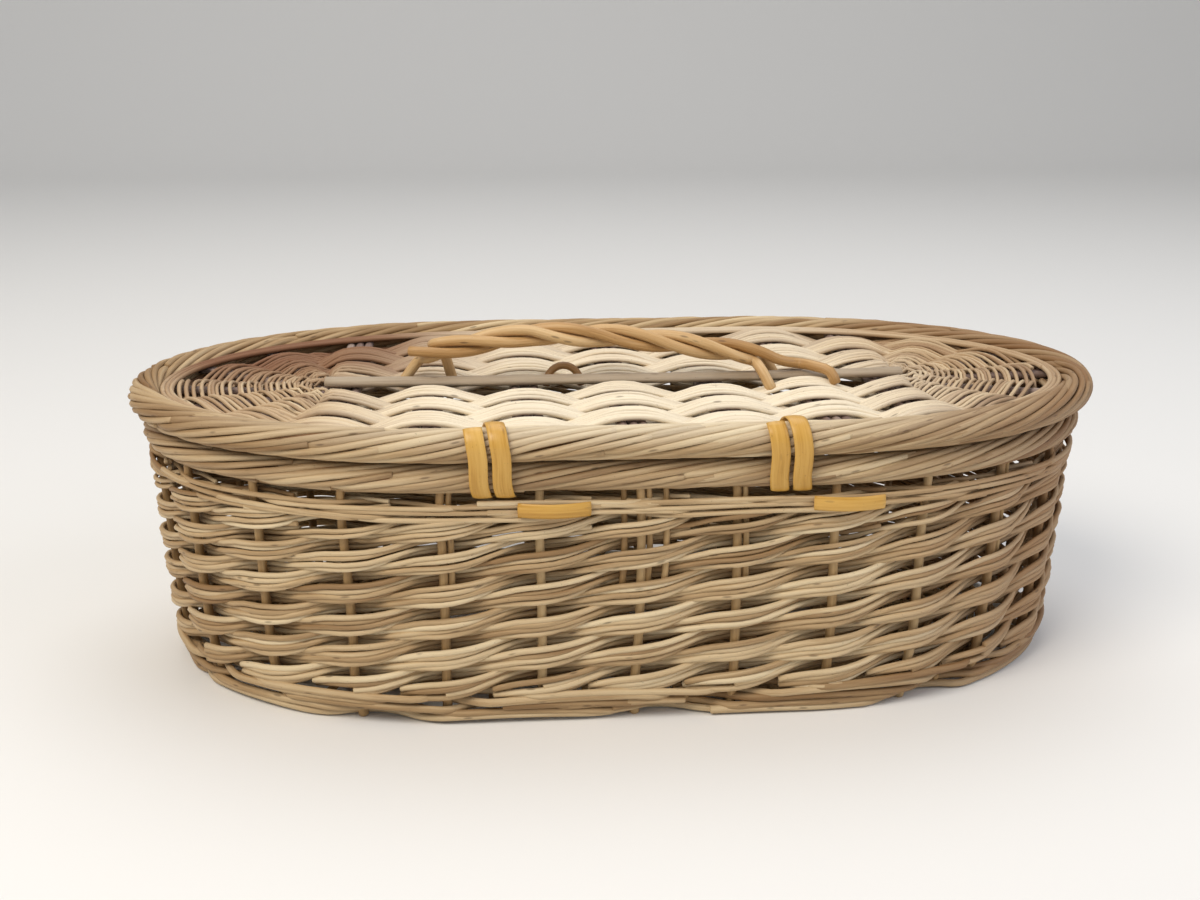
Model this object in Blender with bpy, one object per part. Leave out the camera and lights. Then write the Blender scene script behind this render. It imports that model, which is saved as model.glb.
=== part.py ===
# Lidded wicker basket on two cane hinge loops. Millimetres here, metres in Blender.
# X along the basket, hinge side at -Y, Z up, ground at zero.
import math

import bmesh
import bpy
from mathutils import Vector
from mathutils.bvhtree import BVHTree

MM = 0.001
GAP = 0.3            # air left between two pieces that touch
FLANK = 72.0         # half of the straight middle of the oval

# Lid
LID_LONG = 222.0     # half length and half depth at the middle of the border rods
LID_DEEP = 110.0
LID_RIM = 8.0        # radius of the rolled border
LID_Z = 128.0        # height of its middle
LID_SEAT = 1.0       # how far under that the cross rods meet it
LID_SAG = 4.0        # how far the worn panel hangs in the middle

# Body
BODY_INSET = 3.0     # how far the body's border lies inside the lid's, at the front and the back
BODY_LONG = LID_LONG - 1.5 * BODY_INSET
BODY_DEEP = LID_DEEP - BODY_INSET
BODY_RIM = 7.0
BODY_Z = LID_Z - math.sqrt((LID_RIM + BODY_RIM + GAP) ** 2 - BODY_INSET ** 2)
TAPER = ((0.0, 12.5), (6.0, 10.3), (13.0, 7.6), (24.0, 5.6), (60.0, 2.9), (106.0, 0.0))
TAPER_DEEP = 0.65    # the front and back lean less than the ends

# Stakes, 26 round the wall, and the slewing between them
STAKES = 26
STAKE_R = 2.2
STAKE_TIP = 0.82     # share of that at the top
STAKE_BENDS = (13.0, 50.0)  # heights where a stake bends with the wall
STAKE_SHORT = 3.0    # it stops this far under the border and is then drawn up to it
STROKES = 12         # of each bundle of slewing, which climbs one pitch from stake to stake
ROW_PITCH = 7.4
ROW_HIGH = 7.9       # height of a bundle; the next bundle rests on it between two stakes
ROW_THICK = 2.8
ROW_LEAST = 17.0     # middle height of a bundle's first stroke
ROW_SWING = 4.5      # of a bundle's middle in front of a stake and behind the next

# Upsett, the thick waling round the foot
WALE_OUT = 3.5
WALE_HIGH = 6.6
WALE_OFF = 6.2       # outward from the middle of the stakes
FOOT_CUT = 0.5       # worn flat by this much

# Top wale, fine rods just under the border
TOP_OUT = 1.5
TOP_HIGH = 3.0
TOP_Z = 101.3

# Floor
FLOOR_Z = 6.2
FLOOR_ROD = 2.2
FLOOR_ROWS = 4
FLOOR_THICK = 1.8    # of a row
FLOOR_HALF = 4.0     # half width kept free at a stick
FLOOR_HEART = 13.0   # from the fan to the end of the innermost row
FLOOR_INNER = 2.0    # from the middle line to the innermost row
FLOOR_GAP = 4.5      # from the weave to the middle of the stakes

# Panel of the lid
CROSS_ROD = 2.3
CROSS_X = (0.0, 0.203 * LID_LONG, 0.405 * LID_LONG, 0.586 * LID_LONG)
FAN_X = CROSS_X[-1] + 3.0
FAN_ANGLES = (-60.0, -30.0, 0.0, 30.0, 60.0)
SPOKE_REACH = (40.0, 62.0)  # along a spoke, before its end is cut to meet the border
LID_ROWS = 7
LID_ROW_THICK = 2.4
LID_BEGIN = 6        # the stick or spoke at which the first band starts
LID_CROWD = 1.35     # above one, the rows get closer towards the middle
LID_EASE = 0.12      # a little more air where a row crosses the rods
ROW_FILL = 0.44      # half width of a row, as a share of the room it has
LID_HEART = 16.0     # from the fan to the end of the innermost row
RAY_HALF = 3.0       # half width kept free at a spoke
LID_CLEAR = 10.8     # from the outermost row to the middle of the border
STICK_WIDE = 9.5
STICK_HIGH = 5.0
STICK_END = CROSS_X[-1] + 9.0

# Rolled borders, three rods each
LOBES = 3
BORDER_STEPS = 65
BORDER_TWIST = 24.0  # degrees from one step to the next
VALLEY = 0.84        # depth of the hollow between two rods, as a share of the radius

# Handle: heights of the rope's middle over the long stick, from the left end to the right
HANDLE_LINE = ((-99.0, 10.5), (-70.0, 15.5), (-42.0, 20.0), (-8.0, 18.8), (11.0, 16.8), (35.0, 13.4),
               (54.0, 10.2), (70.0, 7.6), (88.0, 3.4))
CORE_END = ((95.0, -6.5, 3.2), (102.0, -12.0, 1.0), (104.0, -13.5, -5.0))
STRAND_R = 2.6
STRAND_OFF = 3.4     # of each strand from the middle of the rope
CORE_EASE = 16.0     # over this length the core comes to the middle at its right end
KNEE_DROP = 2.0      # of a strand where it leaves the rope for a foot
FOOT_DEEP = 6.0      # a foot is drawn to here, then set on what it meets
ROPE_TURNS = 1.875   # between the two ends of the roping strands
ROPE_PHASE = -70.0   # degrees, of the first roping strand where it leaves its left foot
ROPE_SPAN = ((-90.0, 66.0), (-88.0, 68.0))
ROPE_FEET = (((-104.0, 13.0), (73.0, -13.5)), ((-79.0, 14.0), (80.0, 13.5)))

# Hinge loops of flat cane, wound twice
LOOP_X = 0.279 * LID_LONG
CANE_WIDE = 8.0
CANE_THICK = 1.3
CANE_PITCH = 9.6
CANE_CLEAR = 0.5
LOOP_STEPS = (12, 36)  # eight to each border: down in front, round behind, and down in front again
TAIL_LONG = 30.0
TAIL_BOW = 3.0
TAIL_FROM = 2.0      # from the loop to its tail
TAIL_UNDER = 1.5     # from the border down to the tail
FAR = 2 * LID_DEEP   # looking in from here, the wall is met

PALETTE = {
    "stake": (0.55, 0.42, 0.25), "slewing": (0.68, 0.55, 0.36), "waling": (0.60, 0.47, 0.29),
    "border": (0.62, 0.48, 0.31), "floor": (0.57, 0.45, 0.28), "panel": (0.76, 0.66, 0.48),
    "cross": (0.47, 0.40, 0.36), "handle": (0.60, 0.38, 0.14), "cane": (0.72, 0.48, 0.12),
}

for old in list(bpy.data.objects):
    bpy.data.objects.remove(old, do_unlink=True)

BUILT = {}


def blend(first, second, share):
    return first + (second - first) * share


def lookup(table, at):
    """Value at one place of a table of pairs, straight between its entries."""
    for (low, first), (high, second) in zip(table, table[1:]):
        if at <= high:
            return blend(first, second, max(0.0, (at - low) / (high - low)))
    return table[-1][1]


def material(kind, name):
    tone = bpy.data.materials.new(name)
    tone.use_nodes = True
    shader = tone.node_tree.nodes["Principled BSDF"]
    shader.inputs["Base Color"].default_value = (*PALETTE[kind], 1.0)
    shader.inputs["Roughness"].default_value = 0.6
    return tone


def place(name, kind, points, faces):
    """One object of triangles, faces turned outward."""
    mesh = bpy.data.meshes.new(name)
    mesh.from_pydata([tuple(MM * value for value in point) for point in points], [], faces)
    work = bmesh.new()
    work.from_mesh(mesh)
    bmesh.ops.recalc_face_normals(work, faces=work.faces)
    work.to_mesh(mesh)
    work.free()
    piece = bpy.data.objects.new(name, mesh)
    bpy.context.collection.objects.link(piece)
    mesh.materials.append(material(kind, name))
    BUILT[name] = piece
    return piece


def loft(rings, closed=False):
    """Triangles over a row of rings with the same number of points each."""
    count, around = len(rings), len(rings[0])
    points = [point for ring in rings for point in ring]
    faces = []
    for row in range(count if closed else count - 1):
        here, there = row * around, (row + 1) % count * around
        for side in range(around):
            turn = (side + 1) % around
            faces.append((here + side, here + turn, there + turn))
            faces.append((here + side, there + turn, there + side))
    if not closed:
        for base in (0, (count - 1) * around):
            ring = points[base:base + around]
            points.append(sum((Vector(point) for point in ring), Vector()) / around)
            hub = len(points) - 1
            faces += [(base + side, base + (side + 1) % around, hub) for side in range(around)]
    return points, faces


def circle(radius, sides, turn=0.0):
    return [(radius * math.cos(turn + math.tau * side / sides),
             radius * math.sin(turn + math.tau * side / sides)) for side in range(sides)]


def rod(path, radii, sides, across=Vector((0.0, 1.0, 0.0)), turn=None):
    """Rings along a path, square to it, with the first section axis nearest to across."""
    section = circle(1.0, sides, math.pi / sides if turn is None else turn)
    rings = []
    for at, point in enumerate(path):
        ahead = (path[min(at + 1, len(path) - 1)] - path[max(at - 1, 0)]).normalized()
        first = (across - ahead * across.dot(ahead)).normalized()
        second = ahead.cross(first)
        rings.append([point + first * u * radii[at] + second * v * radii[at] for u, v in section])
    return rings


def tree_of(*names):
    """What rays can hit: the triangles of the named objects, in millimetres."""
    points, faces = [], []
    for name in names:
        mesh, start = BUILT[name].data, len(points)
        points += [vertex.co / MM for vertex in mesh.vertices]
        faces += [tuple(start + corner for corner in face.vertices) for face in mesh.polygons]
    return BVHTree.FromPolygons(points, faces)


def reach_of(tree, point, toward, spread=0.0):
    """How far a point can go along a line, and points near it, before something is met."""
    side = toward.orthogonal().normalized() * spread
    other = toward.cross(side)
    casts = [tree.ray_cast(point + off, toward)[3] for off in (side * 0, side, -side, other, -other)]
    return min((way for way in casts if way is not None), default=math.inf)


def cut_to_ring(ring, toward, tree, long, deep, spread):
    """An end cut along the oval of a border, at the gap from the nearest rod of it."""
    ways = [(on_oval(Vector((p.x, p.y, 0.0)), toward, long, deep, FLANK) - Vector((p.x, p.y, 0.0))).length
            for p in ring]
    short = min(reach_of(tree, point, toward, spread) - way for point, way in zip(ring, ways))
    return [point + toward * (way + short - GAP) for point, way in zip(ring, ways)]


def stand_on(tree, ring):
    """A ring laid level, a gap above the highest thing under it."""
    middle = sum(ring, Vector()) / len(ring)
    probes = [middle.lerp(point, share) for point in ring for share in (0.0, 0.35, 0.7, 1.0, 1.08)]
    hits = [tree.ray_cast(point + Vector((0.0, 0.0, 20.0)), Vector((0.0, 0.0, -1.0)))[0] for point in probes]
    top = max(hit.z for hit in hits if hit is not None)
    return [Vector((point.x, point.y, top + GAP)) for point in ring]


# Plan of the oval: straight flanks, elliptical ends
class Spot:
    """One place round the oval: share of the end ellipse and place on the flank."""

    def __init__(self, along, c, s):
        self.along, self.c, self.s = along, c, s

    def at(self, long, deep, z, off=0.0):
        normal = self.normal(long, deep)
        return Vector((self.along + self.c * (long - FLANK), self.s * deep, z)) + normal * off

    def normal(self, long, deep):
        return Vector((self.c / (long - FLANK), self.s / deep, 0.0)).normalized()


def spots(count, shift=0.0):
    """Places spread evenly by length round the body's border, from the front middle."""
    fine = 2000
    trail = []
    for step in range(fine + 1):
        trail.append(Spot(FLANK * step / fine, 0.0, -1.0))
    for step in range(1, 2 * fine + 1):
        angle = math.pi * step / (2 * fine) - math.pi / 2
        trail.append(Spot(FLANK, math.cos(angle), math.sin(angle)))
    for step in range(1, fine + 1):
        trail.append(Spot(FLANK * (1 - step / fine), 0.0, 1.0))
    run = [0.0]
    for first, second in zip(trail, trail[1:]):
        run.append(run[-1] + (second.at(BODY_LONG, BODY_DEEP, 0) - first.at(BODY_LONG, BODY_DEEP, 0)).length)
    half, chosen = run[-1], []
    for at in range(count):
        want = (2 * half * at / count + shift) % (2 * half)
        mirrored = want > half
        want = 2 * half - want if mirrored else want
        low, high = 0, len(run) - 1
        while high - low > 1:
            middle = (low + high) // 2
            low, high = (middle, high) if run[middle] <= want else (low, middle)
        spot = trail[low if want - run[low] < run[high] - want else high]
        chosen.append(Spot(-spot.along, -spot.c, spot.s) if mirrored else spot)
    return chosen


def wall(spot, z, off=0.0):
    """A point of the tapering wall, measured outward from the middle of its stakes."""
    inward = lookup(TAPER, z)
    return spot.at(BODY_LONG - inward, BODY_DEEP - inward * TAPER_DEEP, z, off)


def rolled(long, deep, z, wide, high, name, kind="border"):
    """A border of three rods rolled round each other, as one twisted ring."""
    rings = []
    for step, spot in enumerate(spots(BORDER_STEPS)):
        centre, normal = spot.at(long, deep, z), spot.normal(long, deep)
        ring = []
        for corner in range(2 * LOBES):
            angle = math.radians(BORDER_TWIST * step) + math.pi * corner / LOBES
            reach = 1.0 if corner % 2 == 0 else VALLEY
            ring.append(centre + normal * wide * reach * math.cos(angle)
                        + Vector((0.0, 0.0, high * reach * math.sin(angle))))
        rings.append(ring)
    return place(name, kind, *loft(rings, closed=True))


rolled(BODY_LONG, BODY_DEEP, BODY_Z, BODY_RIM, BODY_RIM, "body_border")
rolled(LID_LONG, LID_DEEP, LID_Z, LID_RIM, LID_RIM, "lid_border")
wale_in = lookup(TAPER, WALE_HIGH)
upsett = rolled(BODY_LONG - wale_in + WALE_OFF, BODY_DEEP - wale_in * TAPER_DEEP + WALE_OFF,
                WALE_HIGH - FOOT_CUT, WALE_OUT, WALE_HIGH, "upsett", "waling")
work = bmesh.new()
work.from_mesh(upsett.data)
everything = list(work.verts) + list(work.edges) + list(work.faces)
bmesh.ops.bisect_plane(work, geom=everything, plane_co=(0, 0, 0), plane_no=(0, 0, -1), clear_outer=True)
bmesh.ops.holes_fill(work, edges=[edge for edge in work.edges if edge.is_boundary], sides=0)
bmesh.ops.triangulate(work, faces=work.faces)
work.to_mesh(upsett.data)
work.free()

# Stakes, cut to meet the border
border_tree = tree_of("body_border")
STAKE_SPOTS = spots(STAKES)
stake_low = GAP + FOOT_CUT
for index, spot in enumerate(STAKE_SPOTS):
    heights = (stake_low, *STAKE_BENDS, BODY_Z - BODY_RIM - STAKE_SHORT)
    path = [wall(spot, z) for z in heights]
    radii = [blend(STAKE_R, STAKE_R * STAKE_TIP, z / heights[-1]) for z in heights]
    rings = rod(path, radii, 5, across=spot.normal(BODY_LONG, BODY_DEEP))
    up = Vector((0.0, 0.0, 1.0))
    lift = min(reach_of(border_tree, point, up, 1.0) for point in rings[-1]) - GAP
    rings[-1] = [point + up * lift for point in rings[-1]]
    place(f"stake_{index + 1:02d}", "stake", *loft(rings))


# Top wale
top_in, top_off = lookup(TAPER, TOP_Z), STAKE_R + GAP + TOP_OUT
rolled(BODY_LONG - top_in + top_off, BODY_DEEP - top_in * TAPER_DEEP + top_off,
       TOP_Z, TOP_OUT, TOP_HIGH, "top_wale", "waling")


# Slewing in the French way: a bundle starts at every stake and all climb together, in front of one
# stake and behind the next. Each rests on the one below it between two stakes.
half_high, half_thick = ROW_HIGH / 2, ROW_THICK / 2
RODS = ((1.0, 0.46), (0.5, 0.0), (1.0, -0.46))
SLEW_SPOTS = spots(STAKES)


def bundle(start, lowered):
    """Sections of one bundle of rods, with the top lowered where the next node begins."""
    rings = []
    for stroke in range(STROKES):
        spot = SLEW_SPOTS[(start + stroke) % STAKES]
        z = ROW_LEAST + ROW_PITCH * stroke
        inward = lookup(TAPER, z)
        normal = spot.normal(BODY_LONG - inward, BODY_DEEP)
        centre = wall(spot, z, ROW_SWING if stroke % 2 == 0 else -ROW_SWING)
        ring = [centre + normal * half_thick * out + Vector((0.0, 0.0, half_high * up - lowered * max(0.0, up)))
                for out, up in ((0.0, 1.0), *RODS, (0.0, -1.0), (-0.8, 0.0))]
        rings.append(ring)
    return rings


def fuse(piece, names):
    """The named pieces joined into one body."""
    for other in names:
        joined = piece.modifiers.new("join", "BOOLEAN")
        joined.operation, joined.solver, joined.object = "UNION", "EXACT", BUILT[other]
        fused = bpy.data.meshes.new_from_object(piece.evaluated_get(bpy.context.evaluated_depsgraph_get()))
        piece.modifiers.clear()
        piece.data = fused
        bpy.data.objects.remove(BUILT.pop(other), do_unlink=True)
    return piece


half = STAKES // 2
for name, first in (("slewing_a", 0), ("slewing_b", half)):
    for order in range(half):
        title = f"bundle_{order}" if order else name
        place(title, "slewing", *loft(bundle(first + order, 0.0 if order else 3 * GAP)))
    fuse(BUILT[name], [f"bundle_{order}" for order in range(1, half)])


# Flat panels: sticks across, fans at the ends, two bands that chase each other inward
def measure(x, y, long, deep, flank):
    """Below one inside the oval, one on it."""
    return math.hypot(max(0.0, abs(x) - flank) / (long - flank), y / deep)


def on_oval(origin, heading, long, deep, flank):
    """Where a ray from inside crosses the oval."""
    low, high = 0.0, 400.0
    for _ in range(40):
        middle = (low + high) / 2
        point = origin + heading * middle
        low, high = (middle, high) if measure(point.x, point.y, long, deep, flank) < 1 else (low, middle)
    return origin + heading * low


def rays(sticks, fan, angles, half_stick, half_spoke):
    """Pairs of rays beside each stick and spoke, in the order a weaver meets them."""
    right = []
    for x in sticks:
        right.append([(Vector((x + side * half_stick, 0, 0)), -90.0) for side in (-1, 1)] + [None])
    for angle in angles:
        tilt = math.radians(angle)
        off = Vector((-math.sin(tilt), math.cos(tilt), 0)) * half_spoke
        right.append([(Vector((fan, 0, 0)) - off, angle), (Vector((fan, 0, 0)) + off, angle), angles.index(angle)])
    for x in reversed(sticks):
        right.append([(Vector((x + side * half_stick, 0, 0)), 90.0) for side in (1, -1)] + [None])
    left = []
    for first, second, kind in right[1:-1] if sticks[0] == 0 else right:
        flip = [(Vector((-o.x, -o.y, 0)), a + 180.0) for o, a in (first, second)]
        left.append(flip + [kind])
    return right + left


def panel_weave(names, kind, crossings, rows, outer, inner, wave, thick, height, tight, begin, crowd):
    """Two flat bands between an outer and an inner oval, over one stick and under the next."""
    count = len(crossings)
    for band, name in enumerate(names):
        late = begin + band * count // 2
        rings = []
        for step in range(round((rows - 1) * count / 2) + 1):
            row = 2.0 * step / count
            first, second, place_in_fan = crossings[(step + late) % count]
            side = 1.0 if ((step + late) % count + band) % 2 == 0 else -1.0
            if place_in_fan is not None and row > tight and place_in_fan % 2 == 0:
                side = -side
            for origin, angle in (first, second):
                heading = Vector((math.cos(math.radians(angle)), math.sin(math.radians(angle)), 0))
                edges = []
                for reach in (-ROW_FILL, 0.0, ROW_FILL):
                    share = 1.0 - (1.0 - (row + reach + 0.5) / rows) ** crowd
                    edges.append(on_oval(origin, heading, *(blend(o, i, share) for o, i in zip(outer, inner))))
                out, centre, into = edges
                lift = height(centre) + side * wave
                ring = [(out, -0.35), (out, 0.35), (centre, 1.0), (into, 0.35), (into, -0.35), (centre, -1.0)]
                if kind == "floor":
                    ring = [(out, 0.0), (centre, 1.0), (into, 0.0), (centre, -1.0)]
                rings.append([Vector((at.x, at.y, lift + up * thick / 2)) for at, up in ring])
        place(name, kind, *loft(rings))


def trio(radius):
    """Outline of three rods laid side by side."""
    outline = []
    for side in (1, -1):
        for step in range(5):
            u = (-2 + step) * side * radius
            outline.append((u, side * radius * (1.0 if step % 2 == 0 else 0.72)))
        outline.append((side * 3 * radius, 0.0))
    return outline


# Lid panel
def lid_height(point):
    away = measure(point.x, point.y, LID_LONG, LID_DEEP, FLANK)
    return LID_Z - LID_SEAT - LID_SAG * (1 - min(1.0, away) ** 2)


lid_tree = tree_of("lid_border")


def cross_rods(name, x, kind, radius, ends, height, meet, spokes=None, fan=0.0, outline=None):
    """Rods across the panel as one piece; at an end of the basket the fan grows out of them."""
    outline = outline or trio(radius)
    rings = []
    for share in (-1.0, -0.5, 0.0, 0.5, 1.0):
        ring = []
        for u, v in outline:
            spot = Vector((x + u, share * ends, 0.0))
            spot.z = height(spot) + v
            ring.append(spot)
        if abs(share) == 1.0:
            ring = meet(ring, Vector((0.0, share, 0.0)))
        rings.append(ring)
    piece = place(name, kind, *loft(rings))
    for number, angle in enumerate(spokes or ()):
        turn = math.radians(angle) + (math.pi if x < 0 else 0.0)
        heading = Vector((math.cos(turn), math.sin(turn), 0.0))
        base = Vector((math.copysign(fan, x), heading.y * 0.6 * radius, 0.0))
        path = [base + heading * reach for reach in (-0.3 * radius * (1 + number / 7), *SPOKE_REACH)]
        for point in path:
            point.z = height(point)
        slim = radius * (0.97 - number / 70)
        made = rod(path, (slim, slim, slim * 0.9), 6, across=Vector((0.0, 0.0, 1.0)), turn=0.05 * number - 0.11)
        made[-1] = meet(made[-1], heading)
        spoke = place(f"spoke_{number}", kind, *loft(made))
        fuse(piece, [spoke.name])
    return piece


def meet_lid(ring, heading):
    return cut_to_ring(ring, heading, lid_tree, LID_LONG - LID_RIM, LID_DEEP - LID_RIM, 0.5 * CROSS_ROD)


def signed(values):
    return [-value for value in reversed(values) if value] + list(values)


for number, x in enumerate(signed(CROSS_X)):
    end = abs(x) == CROSS_X[-1]
    cross_rods(f"lid_cross_{number + 1}", x, "cross", CROSS_ROD, 0.8 * LID_DEEP, lid_height, meet_lid,
               FAN_ANGLES if end else None, FAN_X)
stick_half = STICK_WIDE / 2
rings = []
for x in (-STICK_END, -CROSS_X[-1], -CROSS_X[2], -CROSS_X[1], 0.0, CROSS_X[1], CROSS_X[2], CROSS_X[-1], STICK_END):
    low = lid_height(Vector((x, 0.0, 0.0))) + CROSS_ROD + GAP
    outline = ((-1.0, 0.0), (-1.0, 0.55), (-0.6, 1.0), (0.6, 1.0), (1.0, 0.55), (1.0, 0.0))
    rings.append([Vector((x, u * stick_half, low + v * STICK_HIGH)) for u, v in outline])
place("lid_stick", "cross", *loft(rings))
panel_weave(("lid_weave_a", "lid_weave_b"), "panel",
            rays(CROSS_X, FAN_X, FAN_ANGLES, 3 * CROSS_ROD, RAY_HALF), LID_ROWS,
            (LID_LONG - LID_CLEAR, LID_DEEP - LID_CLEAR, FLANK),
            (FAN_X + LID_HEART, stick_half + 1.0, CROSS_X[-1]),
            CROSS_ROD + GAP + LID_EASE + LID_ROW_THICK / 2, LID_ROW_THICK, lid_height,
            0.66 * LID_ROWS, LID_BEGIN, LID_CROWD)

# Floor panel
wale_tree = tree_of("upsett")
floor_in = lookup(TAPER, FLOOR_Z)
floor_long, floor_deep = BODY_LONG - floor_in, BODY_DEEP - floor_in * TAPER_DEEP


def floor_height(point):
    return FLOOR_Z


def meet_wale(ring, heading):
    return cut_to_ring(ring, heading, wale_tree, floor_long + STAKE_R, floor_deep + STAKE_R,
                       0.5 * FLOOR_ROD)


SQUARE = ((-2.6, -1.0), (-2.6, 1.0), (0.0, 1.15), (2.6, 1.0), (2.6, -1.0), (0.0, -1.15))
HALFWAY = [spot.at(floor_long, floor_deep, 0.0) for spot in spots(2 * STAKES)][1:STAKES:2]
FLOOR_STICKS = [point.x for point in HALFWAY[:3]]
FLOOR_FAN = FLOOR_STICKS[-1] + 1.0
FLOOR_ANGLES = [math.degrees(math.atan2(point.y, point.x - FLOOR_FAN)) for point in HALFWAY[3:-3]]
for number, x in enumerate(signed(FLOOR_STICKS)):
    end = abs(x) == FLOOR_STICKS[-1]
    flat = [(u * FLOOR_ROD / 2, v * FLOOR_ROD * 0.8) for u, v in SQUARE]
    cross_rods(f"floor_stick_{number + 1}", x, "floor", FLOOR_ROD * 0.8, 0.8 * floor_deep, floor_height, meet_wale,
               FLOOR_ANGLES if end else None, FLOOR_FAN, outline=flat)
panel_weave(("floor_weave_a", "floor_weave_b"), "floor",
            rays(FLOOR_STICKS, FLOOR_FAN, FLOOR_ANGLES, FLOOR_HALF, RAY_HALF), FLOOR_ROWS,
            (floor_long - FLOOR_GAP, floor_deep - FLOOR_GAP, FLANK),
            (FLOOR_FAN + FLOOR_HEART, FLOOR_INNER, FLOOR_STICKS[-1]),
            FLOOR_ROD * 0.8 * 1.15 + GAP + FLOOR_THICK / 2, FLOOR_THICK, floor_height,
            0.58 * FLOOR_ROWS, 0, 1.0)


# Handle: a core and two roping strands, seated on the stick and on the weave
stick_top = LID_Z - LID_SEAT - LID_SAG + CROSS_ROD + GAP + STICK_HIGH


def rope(x, phase, away=STRAND_OFF):
    """A point of a strand, where the rope's middle is at x."""
    height = stick_top + lookup(HANDLE_LINE, x)
    return Vector((x, away * math.cos(phase), height + away * math.sin(phase)))


def phase_at(x, strand):
    first, last = ROPE_SPAN[0]
    return math.radians(ROPE_PHASE) + math.tau * (ROPE_TURNS * (x - first) / (last - first) + strand / 3)


def along(first, last, steps):
    return [blend(first, last, step / steps) for step in range(steps + 1)]


panel_tree = tree_of("lid_stick", "lid_weave_a", "lid_weave_b", *(f"lid_cross_{n + 1}" for n in range(7)))
core = []
for x in along(HANDLE_LINE[0][0], HANDLE_LINE[-1][0], 22):
    eased = STRAND_OFF * min(1.0, max(0.0, (HANDLE_LINE[-1][0] - x) / CORE_EASE))
    core.append(rope(x, phase_at(x, -1), eased))
core += [Vector((x, y, stick_top + up)) for x, y, up in CORE_END]
rings = rod(core, [STRAND_R] * len(core), 6)
rings[-1] = stand_on(panel_tree, rings[-1])
place("handle_core", "handle", *loft(rings))
for strand, title in enumerate(("handle_rope_a", "handle_rope_b")):
    (first, last), feet = ROPE_SPAN[strand], ROPE_FEET[strand]
    path = [rope(x, phase_at(x, strand)) for x in along(first, last, 19)]
    for at, (x, y) in ((0, feet[0]), (-1, feet[1])):
        near = path[at]
        knee = Vector((blend(near.x, x, 0.3), blend(near.y, y, 0.6), near.z - KNEE_DROP))
        low = Vector((x, y, stick_top - FOOT_DEEP))
        path = [low, knee] + path if at == 0 else path + [knee, low]
    rings = rod(path, [STRAND_R] * len(path), 6)
    for at in (0, -1):
        rings[at] = stand_on(panel_tree, rings[at])
    place(title, "handle", *loft(rings))


# Hinge loops: flat cane wound twice round both borders
def belt():
    """One turn of the inside of a loop, in the upright plane across the hinge."""
    low, high = Vector((-BODY_DEEP, BODY_Z)), Vector((-LID_DEEP, LID_Z))
    line = (high - low).normalized()
    lean = math.asin((LID_RIM - BODY_RIM) / (high - low).length)
    start = math.atan2(line.y, line.x)
    turns = []
    for centre, radius, first, last in ((low, BODY_RIM, math.pi / 2 + lean, 3 * math.pi / 2 - lean),
                                        (high, LID_RIM, -math.pi / 2 - lean, math.pi / 2 + lean)):
        for step in range(8):
            angle = start + blend(first, last, step / 7)
            outward = Vector((math.cos(angle), math.sin(angle)))
            turns.append((centre + outward * (radius + CANE_CLEAR), outward))
    return turns


for name, side in (("hinge_loop_left", -1), ("hinge_loop_right", 1)):
    turn = belt()
    rings = []
    for step in range(LOOP_STEPS[0], LOOP_STEPS[1]):
        spot, outward = turn[step % len(turn)]
        x = side * LOOP_X + CANE_PITCH * (step / len(turn) - 1.5)
        ring = []
        for along, out in ((-0.5, 0.0), (0.5, 0.0), (0.5, 1.0), (-0.5, 1.0)):
            at = spot + outward * out * CANE_THICK
            ring.append(Vector((x + along * CANE_WIDE, at.x, at.y)))
        rings.append(ring)
    place(name, "cane", *loft(rings))

# Their tails lie against the wall just under the border
wall_tree = tree_of("slewing_a", "slewing_b", "body_border", "top_wale",
                    *(f"stake_{n + 1:02d}" for n in range(STAKES)))
for name, side in (("hinge_tail_left", -1), ("hinge_tail_right", 1)):
    start = side * LOOP_X + CANE_PITCH / 2 + CANE_WIDE / 2 + TAIL_FROM
    level = BODY_Z - BODY_RIM - TAIL_UNDER - CANE_WIDE / 2
    stations = [(start + TAIL_LONG * step / 6, TAIL_BOW * math.sin(math.pi * step / 6)) for step in range(7)]
    ways = [reach_of(wall_tree, Vector((x, -FAR, level + up * CANE_WIDE)), Vector((0.0, 1.0, 0.0)), 0.5) + bulge
            for x, bulge in stations for up in (-0.35, -0.18, 0.0, 0.18, 0.35)]
    front = -FAR + min(ways) - GAP
    rings = []
    for x, bulge in stations:
        rings.append([Vector((x, front - bulge - out * CANE_THICK, level + up * CANE_WIDE))
                      for up, out in ((-0.4, 0.0), (0.4, 0.0), (0.4, 1.0), (-0.4, 1.0))])
    place(name, "cane", *loft(rings))

# The moving pieces turn about their own origins
bpy.context.view_layer.update()
pivots = {"loops": Vector((0.0, -BODY_DEEP, BODY_Z)) * MM, "lid": Vector((0.0, -LID_DEEP, LID_Z)) * MM}
for name, piece in BUILT.items():
    group = "lid" if name.startswith(("lid_", "handle_")) else "loops" if name.startswith("hinge_loop") else None
    if group:
        for vertex in piece.data.vertices:
            vertex.co -= pivots[group]
        piece.location = pivots[group]
counts = {}
for name, piece in BUILT.items():
    kind = name.rstrip("_0123456789")
    counts[kind] = counts.get(kind, 0) + len(piece.data.polygons)
print(counts)
print("triangles", sum(len(piece.data.polygons) for piece in BUILT.values()), "objects", len(BUILT))
print("body border z", round(BODY_Z, 3))
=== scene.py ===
# Looks of the lidded wicker basket: every rod of the slewing, the waling, the borders, the lid
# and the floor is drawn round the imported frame. Millimetres here, metres in Blender.
import math

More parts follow.
